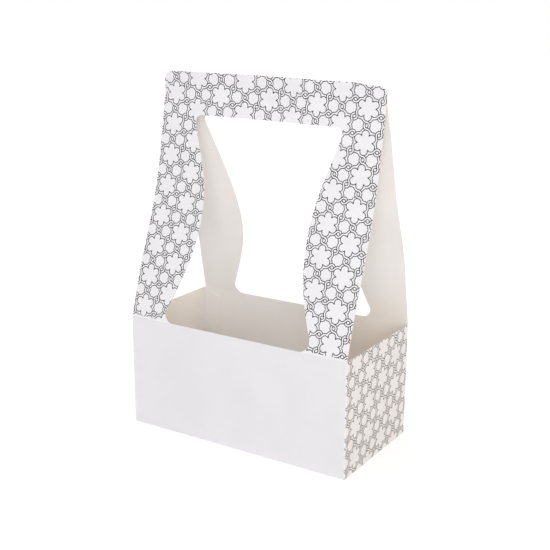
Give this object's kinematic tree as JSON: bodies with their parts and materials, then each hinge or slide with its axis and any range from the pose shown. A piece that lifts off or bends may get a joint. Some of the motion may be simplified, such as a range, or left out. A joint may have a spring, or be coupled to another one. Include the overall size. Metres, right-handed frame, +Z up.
{
  "type": "cardboard cup carrier",
  "caption": "Folded card carrier for takeaway cups: an open tray whose front and back run up as swelling straps and meet in a flat grip bar.",
  "frame": {"origin": "centre of the underside, halfway along and across the tray", "axes": "+X along the tray to its right end, +Y from the front panel to the back panel, +Z up to the grip bar"},
  "size_m": [0.22, 0.112, 0.316],
  "materials": {
    "card": "matt white card with a thin dark grey printed pattern"
  },
  "bodies": {
    "root": {"carrier_sheet": "card"}
  },
  "joints": []
}
